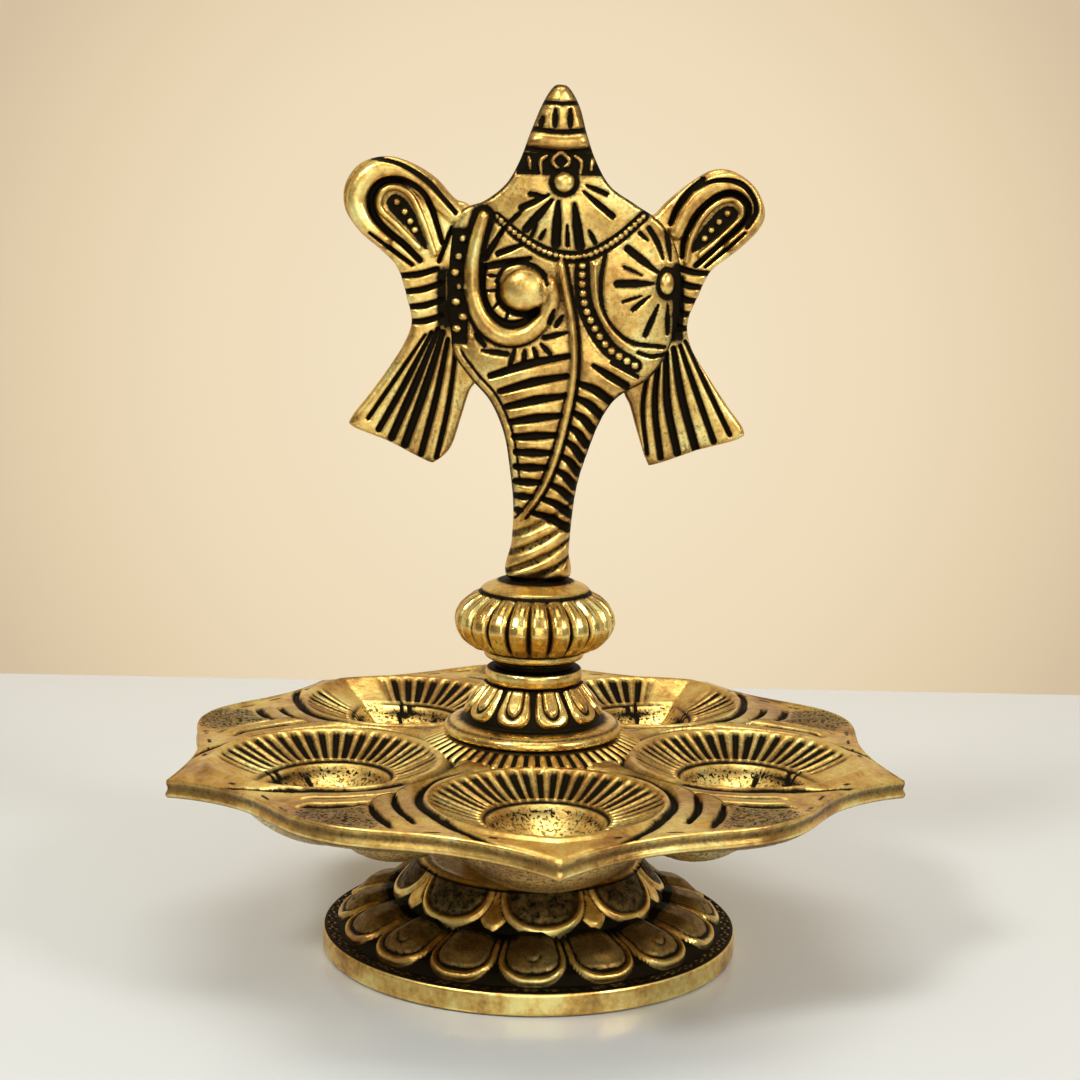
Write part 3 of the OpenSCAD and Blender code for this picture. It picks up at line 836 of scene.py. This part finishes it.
def shell_relief(r, depth):
    """Lower shell: a leaf's vein with slots on both sides, then the smooth twist of the stem."""
    vein = curve(VEIN)[::-1]
    middle = np.interp(r.v, vein[:, 1], vein[:, 0])
    lower = soft((137 - r.v) / 6) * soft((r.v - 97) / 6)
    across = unit(np.abs(r.u - middle) / (np.abs(r.u - middle) + np.maximum(depth, 0) + 0.01))
    r.h += 1.1 * lower * np.sin(math.pi * across) ** 0.8
    left_z = (98, 108, 114, 118, 122.4, 126.2, 129.7, 134)
    left_x = (-5, -5.4, -5.4, -6.2, -7.6, -9.4, -12, -15.4)
    right_z = (92, 105, 115, 119.2, 122.8, 126, 129.3)
    right_x = (7, 8.4, 10.8, 12.8, 14.8, 17.2, 20.4)
    for k in range(10):
        z = 128.6 - 3.25 * k
        rise = max(0, 4.6 - k)
        start = np.interp(z, left_z, left_x) + 0.6
        end = np.interp(z + rise, vein[:, 1], vein[:, 0]) - 1.3
        r.groove([(start, z), (0.5 * (start + end), z + 0.62 * rise), (end, z + rise)], 1.75, 1.0, (0.7, 0.6))
        z = 127.4 - 3.15 * k
        start = np.interp(z, vein[:, 1], vein[:, 0]) + 1.5
        end = np.interp(z - 3.4, right_z, right_x) - 0.5
        r.groove([(start, z), (0.5 * (start + end), z - 1.2), (end, z - 3.6)], 1.75, 1.0, (0.6, 1))
    r.groove([(11.4, 131.4), (18.6, 127)], 1.5, 0.9, (0.5, 1))
    r.groove([(15.4, 132), (21, 129)], 0.8, 0.5)
    r.ridge(VEIN, 1.7, 1.0, (0.9, 0.5))
    r.groove([(x + 1.15, z) for x, z in VEIN], 0.55, 0.6, (0.9, 0.7))
    r.groove([(x - 1.15, z) for x, z in VEIN[4:]], 0.4, 0.5, (0.6, 0.9), 0.9)
    strokes(r, 1.1, 0.7,
        [[(-12.4, 134), (-6.9, 133.4)], [(-5.5, 134.3), (-6.4, 131)], [(-3.3, 134.3), (-3.4, 131.8)],
         [(-1.4, 134.8), (-0.6, 132.6)], [(0.2, 135.6), (2.2, 133.6)], [(2.8, 143.1), (1.8, 140.3)],
         [(4.6, 141.7), (3.3, 139.6)], [(5.6, 138.2), (0.8, 137)], [(-14, 137.4), (-12, 135)]])
    # a narrow smooth border down the left edge of the leaf
    border = soft((136 - r.v) / 3) * soft((r.v - 103) / 4) * (r.u < middle)
    r.stain_and_shade(0.9 * border * bell(depth - 1.9, 0.3))
    r.h -= 0.5 * border * bell(depth - 1.9, 0.45)
    # folds that wind round the stem
    for k in range(4):
        z = 99 - 3.9 * k
        r.groove([(-6, z - 5.4), (-1, z - 3.4), (4, z - 0.6), (8, z + 2.6)], 1.7, 0.7, (0.9, 0.4), 0.3)
    r.groove([(-7, 84.3), (0, 83.9), (8, 84.3)], 0.8, 0.3)


def body_relief(r, depth):
    r.swell((4.4, 163.5), (13, 8), 1.0)
    r.swell((22, 146), (11, 13), 1.3)
    crown_relief(r)
    garland_relief(r)
    flower_relief(r)
    spiral_relief(r)
    shell_relief(r, depth)
    # painted shade along the outline, where the rounded edge turns away from the light
    r.stain_and_shade(0.6 * soft(1.3 - depth / 0.8) * (r.v > 100))
    r.stain_and_shade(0.14 * soft((r.v - 98) / 6))
    r.stain_and_shade(0.95 * soft((r.u - 27.4) / 1.2) * soft((155 - r.v) / 3) * soft((r.v - 134) / 3))
    r.punch(0.25)


def bow_strokes(r, tube, grooves, strand, eye, beads, wraps, tails):
    """One ribbon bow: its loop's grooves, the beaded eye, the wrapped waist and the fluted tail."""
    r.ridge(tube, 4.6, 1.5, (0.8, 0.8))
    for width, path in grooves:
        r.groove(path, width, 0.9, (0.6, 0.8))
    loop = curve(eye, closed=True)
    r.stain_and_shade(np.where(inside_outline(np.vstack([loop, loop[:1]]), r.u, r.v), 0.95, 0.0))
    r.h -= np.where(r.dark > 0.9, 0.25, 0.0)
    r.ridge(strand, 1.5, 0.9, (0.8, 0.8))
    for x, z in beads:
        r.dome((x, z), (0.75, 0.75), 0.8)
    for start, end in wraps:
        middle = (0.5 * (start[0] + end[0]), 0.5 * (start[1] + end[1]) - 0.4)
        r.groove([start, middle, end], 1.25, 0.9, (0.8, 0.8))
    for path, width, dark in zip(tails, (0.8, 1.2, 1.5, 1.6, 1.2, 1.0), (0.7, 0.95, 1, 1, 0.9, 0.75)):
        r.groove(path, width, 0.9, (0.7, 1), dark)
        r.stain_and_shade(0.34 * soft((136 - r.v) / 6) * soft(1.5 - np.abs(r.u - path[1][0]) / 4) * dark)
    r.punch(0.25)


def left_bow_relief(r, depth):
    r.stain_and_shade(0.95 * soft((r.u + 23.4) / 1.6) * soft((153 - r.v) / 3) * soft((r.v - 136) / 4))
    bow_strokes(r,
        [(-18.6, 162.6), (-24.6, 167.6), (-29.6, 171.4), (-34.4, 171.9), (-38.3, 169.2), (-39.8, 165),
         (-38, 160.4), (-33.9, 156.8)],
        [(1.1,
         [(-36.5, 174.2), (-31.2, 173.2), (-27.1, 171.2), (-23.9, 168.8), (-21, 165.8), (-18.5, 163)]),
         (1.5,
          [(-21.3, 156.5), (-23, 161.9), (-24.6, 165.9), (-27.5, 168.6), (-31.2, 169.8), (-34.8, 168.9),
           (-36.6, 165.7), (-36, 162.2), (-33.5, 159.1), (-29.8, 156.3), (-26.1, 152.8)]),
         (0.9, [(-36.8, 158.4), (-31.9, 154.8), (-27.7, 151.8)]),
         (0.9, [(-19.3, 160), (-20.8, 155.9), (-22, 152.6)])],
        [(-22.9, 154.2), (-25.4, 161), (-28.3, 166.6), (-31.6, 168.2), (-34.2, 166.9), (-34.6, 163.6),
         (-31.1, 160.2), (-26.2, 155.4)],
        [(-24.6, 155), (-26.2, 160), (-28.6, 164.6), (-31.2, 166.6), (-33.1, 165.4), (-32.4, 163),
         (-28.6, 159.4)], [(-31.1, 165), (-29.4, 163), (-28.2, 161), (-27.2, 159.2)],
        [((-30.4, 149.4), (-22.4, 151)), ((-29.4, 146), (-21.4, 148)), ((-28.4, 142.8), (-21.4, 144.4)),
         ((-28, 139.6), (-21.4, 141))],
        [[(-24.7, 136.9), (-30.8, 127.7), (-36.9, 118.6)],
         [(-23.4, 137.4), (-29.4, 125.6), (-34.6, 116.2)], [(-22, 138.1), (-27.3, 125), (-31.8, 114.5)],
         [(-21, 137.5), (-24.8, 125), (-28.9, 113)], [(-19.9, 136), (-22.2, 123.7), (-25.4, 111)],
         [(-18, 134.4), (-19.6, 121.7), (-22, 110.4)]])


def right_bow_relief(r, depth):
    r.stain_and_shade(0.95 * soft((31.8 - r.u) / 1.6) * soft((153 - r.v) / 3) * soft((r.v - 134) / 4))
    bow_strokes(r,
        [(28.6, 160), (31, 165), (34.6, 168.8), (39, 170.4), (43, 169.4), (45.6, 165.6), (44.4, 161.4),
         (40.6, 157.6)],
        [(1.4, [(27.3, 161.6), (28.7, 165), (31.1, 168.4), (33.9, 171)]),
         (1.1,
          [(32.2, 168.9), (35.5, 170.6), (39.1, 171), (42.4, 170), (44.7, 167.2), (45.2, 164.3),
           (43.5, 161.2)]),
         (1.3,
          [(29.9, 154.6), (30.3, 158.9), (32.4, 163.3), (35.2, 166.3), (38.1, 168.1), (41, 168.2),
           (43.6, 166.1), (43.6, 163.3), (41.3, 160.7), (37.7, 157.4), (32.9, 152.8)]),
         (0.8, [(43.1, 160), (39.5, 156.6), (35, 152.6)])],
        [(30.8, 153.6), (31.6, 158.2), (34.2, 163.4), (37.2, 166.2), (40.2, 167), (42.2, 165.4),
         (41.9, 162.9), (37.6, 158.4), (33.6, 155)],
        [(32, 155.6), (33, 159), (35.6, 162.6), (38, 165), (40.4, 165.4), (41.4, 163.6), (39.8, 161.4),
         (36, 158)], [(39.3, 164), (37.6, 162.2), (36, 160.4), (34.6, 158.6)],
        [((28.4, 152.6), (35.6, 151.2)), ((28.6, 149.6), (34.4, 148.2)), ((28.8, 146.6), (33.2, 145.2)),
         ((28.6, 143.4), (32.4, 142.4)), ((28, 140.2), (31.4, 139.4))],
        [[(23.8, 132.9), (22.4, 122.5), (23.6, 112)], [(25.6, 133.6), (25, 122.6), (26.6, 111.2)],
         [(27, 134.3), (27.8, 122.6), (30.2, 112.3)], [(28.7, 135), (30.8, 124.4), (34.1, 113.4)],
         [(30.1, 135.6), (34.2, 124.8), (38, 115)], [(31.2, 136.6), (36.4, 126.3), (41.4, 116.6)]])


def make_finial():
    stem_top = 113

    def body_half(x, z, depth):
        crown = 6.5 - (x - 4.5) ** 2 / 220
        stem = soft((stem_top - z) / 14)
        narrow = soft((z - 172) / 14)
        round_end = rounded(depth, 2.6, 5.5) * np.maximum(stem, narrow)
        return crown - stem - rounded(depth, 1.0, 1.6) - round_end

    def bow_half(x, z, depth):
        return 3.1 - rounded(depth, 1.3, 1.7)

    plaque("conch_casting", BODY, 0.26, body_half, body_relief, "conch_finial")
    plaque("left_bow_casting", LEFT_BOW, 0.22, bow_half, left_bow_relief, "conch_finial")
    plaque("right_bow_casting", RIGHT_BOW, 0.22, bow_half, right_bow_relief, "conch_finial")


# ---------------------------------------------------------------- materials and stage


def plug(node, inputs):
    """Sets sockets of a node, each to a value or to a link from another node's output."""
    for key, value in inputs.items():
        if isinstance(value, bpy.types.NodeSocket):
            node.id_data.links.new(value, node.inputs[key])
        else:
            node.inputs[key].default_value = value


def adder(tree):
    """A way to add nodes to a tree."""

    def add(kind, inputs=None, **settings):
        node = tree.nodes.new(kind)
        for key, value in settings.items():
            setattr(node, key, value)
        plug(node, inputs or {})
        return node

    return add


def nodes_of(name):
    """A new node material, its principled shader and a way to add nodes."""
    material = bpy.data.materials.new(name)
    material.use_nodes = True
    tree = material.node_tree
    tree.nodes.clear()
    out = tree.nodes.new("ShaderNodeOutputMaterial")
    shader = tree.nodes.new("ShaderNodeBsdfPrincipled")
    tree.links.new(shader.outputs[0], out.inputs[0])
    return material, shader, adder(tree)


def ramp(add, factor, stops):
    """A colour ramp through (place, colour) stops."""
    node = add("ShaderNodeValToRGB", {0: factor})
    elements = node.color_ramp.elements
    while len(elements) < len(stops):
        elements.new(0.5)
    for element, (place, colour) in zip(elements, stops):
        element.position = place
        element.color = (*colour, 1)
    return node.outputs[0]


def maths(add, operation, *terms):
    return add("ShaderNodeMath", dict(enumerate(terms)), operation=operation).outputs[0]


def noise(add, place, scale, detail=4, rough=0.6):
    return add("ShaderNodeTexNoise", {"Vector": place, "Scale": scale, "Detail": detail, "Roughness": rough})


BRASS_BRIGHT = (0.93, 0.80, 0.32)
BRASS_MIDDLE = (0.77, 0.51, 0.15)
BRASS_DEEP = (0.38, 0.19, 0.05)
# the two dark colours below are those of the oxide and also of the painted shade
TARNISH_AND_SHADE_BROWN = (0.25, 0.14, 0.045)
OXIDE_AND_SHADE_BLACK = (0.012, 0.009, 0.005)


def brass(name, cast):
    """Antique brass: gold where it is rubbed, black oxide and painted shade where the oxide_and_shade
    attribute says.
    """
    material, shader, add = nodes_of(name)
    place = add("ShaderNodeTexCoord").outputs["Object"]
    oxide_and_shade = add("ShaderNodeAttribute", attribute_name="oxide_and_shade").outputs["Fac"]
    stipple = add("ShaderNodeAttribute", attribute_name="stipple").outputs["Fac"]
    cloud = noise(add, place, 75, 6, 0.66).outputs[0]
    fleck = noise(add, place, 620, 3, 0.6).outputs[0]
    pits = noise(add, place, 1500, 2, 0.5).outputs[0]
    # oxide and painted shade: the given amount, its edge broken up by flecks
    ragged = maths(add, "MULTIPLY_ADD", fleck, 0.5, -0.25)
    amount = maths(add, "ADD", oxide_and_shade, ragged)
    dotted = maths(add, "MULTIPLY", stipple, maths(add, "GREATER_THAN", pits, 0.56))
    amount = maths(add, "ADD", amount, maths(add, "MULTIPLY", dotted, 0.5))
    brown = ramp(add, amount, [(0.10, (0, 0, 0)), (0.40, (0.7, 0.7, 0.7))])
    black = ramp(add, amount, [(0.28, (0, 0, 0)), (0.70, (1, 1, 1))])
    # gold: deeper where clouds of tarnish lie
    tone = maths(add, "MULTIPLY_ADD", fleck, 0.35, cloud)
    gold = ramp(add, tone, [(0.52, BRASS_DEEP), (0.68, BRASS_MIDDLE), (0.82, BRASS_BRIGHT)])
    gold_tarnish_and_shade = add("ShaderNodeMix", {0: brown, 6: gold, 7: (*TARNISH_AND_SHADE_BROWN, 1)}, data_type="RGBA").outputs[2]
    colour = add("ShaderNodeMix", {0: black, 6: gold_tarnish_and_shade, 7: (*OXIDE_AND_SHADE_BLACK, 1)}, data_type="RGBA").outputs[2]
    sheen = maths(add, "MULTIPLY_ADD", black, 0.35, 0.27 if cast else 0.2)
    rough = maths(add, "ADD", sheen, maths(add, "MULTIPLY", cloud, 0.12))
    # surface: cast grain with punched dots, fainter on turned pieces
    grain = maths(add, "ADD", maths(add, "MULTIPLY", fleck, 0.5), maths(add, "MULTIPLY", pits, 0.25))
    grain = maths(add, "ADD", grain, maths(add, "MULTIPLY", dotted, -0.5))
    bump = add("ShaderNodeBump", {"Strength": 0.55 if cast else 0.3, "Distance": 0.0003, "Height": grain})
    plug(shader, {"Base Color": colour, "Metallic": 1.0, "Roughness": rough, "Normal": bump.outputs[0]})
    return material


def zinc():
    """Zinc-plated steel with the faint spangle of small fasteners."""
    material, shader, add = nodes_of("zinc_plate")
    place = add("ShaderNodeTexCoord").outputs["Object"]
    cloud = noise(add, place, 300, 4, 0.6).outputs[0]
    colour = ramp(add, cloud, [(0.3, (0.36, 0.37, 0.36)), (0.7, (0.62, 0.63, 0.60))])
    rough = ramp(add, cloud, [(0.3, (0.5, 0.5, 0.5)), (0.7, (0.28, 0.28, 0.28))])
    bump = add("ShaderNodeBump", {"Strength": 0.2, "Distance": 0.0002, "Height": cloud})
    plug(shader, {"Base Color": colour, "Metallic": 1.0, "Roughness": rough, "Normal": bump.outputs[0]})
    return material


CAMERA_AT = (0.8, -492.0, 175.1)
CAMERA_TO = (0.8, 0.0, 92.2)
CAMERA_ROLL = 1.16
CAMERA_LENS = 75.8


def aimed(at, to):
    """Placement of a camera or a light at one point that looks to another."""
    return Matrix.Translation(at) @ (to - at).to_track_quat("-Z", "Y").to_matrix().to_4x4()


def make_camera():
    data = bpy.data.cameras.new("camera")
    data.lens = CAMERA_LENS
    data.sensor_width = 36
    camera = new_object("camera", data)
    roll = Matrix.Rotation(math.radians(CAMERA_ROLL), 4, "Z")
    camera.matrix_world = aimed(Vector(CAMERA_AT) * MM, Vector(CAMERA_TO) * MM) @ roll
    bpy.context.scene.camera = camera


def stage_plane(name, corners, material):
    """A flat piece of the backdrop through four corners in metres."""
    mesh = bpy.data.meshes.new(name)
    mesh.from_pydata(corners, [], [(0, 1, 2, 3)])
    mesh.materials.append(material)
    plane = new_object(name, mesh)


def area_light(name, at, to, size, power, colour):
    data = bpy.data.lights.new(name, "AREA")
    data.shape = "RECTANGLE"
    data.size, data.size_y = size
    data.energy = power
    data.color = colour
    new_object(name, data).matrix_world = aimed(Vector(at), Vector(to))


# metres: the far edge of the table, the wall's distance, and half the width of both
TABLE_EDGE, WALL_BACK, STAGE = 0.255, 1.0, 6


def make_stage():
    floor, shader, _ = nodes_of("pale_table")
    plug(shader, {"Base Color": (0.56, 0.58, 0.63, 1), "Roughness": 0.16, "Specular IOR Level": 0.35})
    stage_plane("table",
        [(-STAGE, -STAGE, 0), (STAGE, -STAGE, 0), (STAGE, TABLE_EDGE, 0), (-STAGE, TABLE_EDGE, 0)], floor)
    # the wall glows in rings round a point behind the lamp
    wall, shader, add = nodes_of("cream_wall")
    place = add("ShaderNodeTexCoord").outputs["Object"]
    flat = add("ShaderNodeVectorMath", {0: place, 1: (1, 0, 1)}, operation="MULTIPLY").outputs[0]
    centred = add("ShaderNodeVectorMath", {0: flat, 1: (0, 0, -0.03)}, operation="ADD").outputs[0]
    far = add("ShaderNodeVectorMath", {0: centred}, operation="LENGTH").outputs[1]
    glow = ramp(add, far,
        [(0.0, (0.89, 0.76, 0.54)), (0.24, (0.79, 0.655, 0.45)), (0.32, (0.74, 0.59, 0.39)),
         (0.41, (0.61, 0.485, 0.32))])
    plug(shader,
        {"Base Color": (0.05, 0.045, 0.04, 1), "Roughness": 0.9, "Emission Color": glow,
         "Emission Strength": 1.0})
    stage_plane("wall",
        [(-STAGE, WALL_BACK, -3), (STAGE, WALL_BACK, -3), (STAGE, WALL_BACK, 5), (-STAGE, WALL_BACK, 5)],
        wall)


def make_lights():
    area_light("key", (-0.75, -0.85, 1.15), (0, 0, 0.12), (0.3, 0.3), 13, (1, 1, 0.9))
    area_light("fill", (0.95, -0.75, 0.8), (0, 0, 0.1), (0.25, 0.4), 8, (1, 0.97, 0.9))
    area_light("top", (0, 0.1, 1.3), (0, 0, 0), (0.8, 0.5), 6, (0.98, 1, 0.9))
    area_light("front", (0.15, -1.5, 0.5), (0, 0, 0.12), (1.1, 0.7), 6, (1, 1, 0.88))
    world = bpy.data.worlds.new("studio")
    bpy.context.scene.world = world
    world.use_nodes = True
    # brown below, dark at the horizon, pale above
    add = adder(world.node_tree)
    up = add("ShaderNodeSeparateXYZ", {0: add("ShaderNodeTexCoord").outputs["Generated"]}).outputs[2]
    sky = ramp(add, maths(add, "MULTIPLY_ADD", up, 0.5, 0.5),
        [(0.3, (0.46, 0.32, 0.18)), (0.52, (0.16, 0.12, 0.08)), (0.85, (0.9, 0.92, 0.80))])
    plug(world.node_tree.nodes["Background"], {0: sky, 1: 0.6})


CAST = ("foot_casting", "tray_casting", "tray_boss", "conch_casting", "left_bow_casting",
    "right_bow_casting")
TURNED = ("bell_turning", "ring_turning", "knob_turning")
STEEL = ("tie_rod", "flat_washer", "spring_washer", "hex_nut")


def main():
    bpy.context.scene.view_settings.view_transform = "Standard"
    make_camera()
    make_stage()
    make_lights()
    make_turned()
    make_tray()
    make_boss()
    make_finial()
    cast, turned, steel = brass("cast_brass", True), brass("turned_brass", False), zinc()
    for material, names in ((cast, CAST), (turned, TURNED), (steel, STEEL)):
        for name in names:
            materials = bpy.data.objects[name].data.materials
            materials.clear()
            materials.append(material)


main()
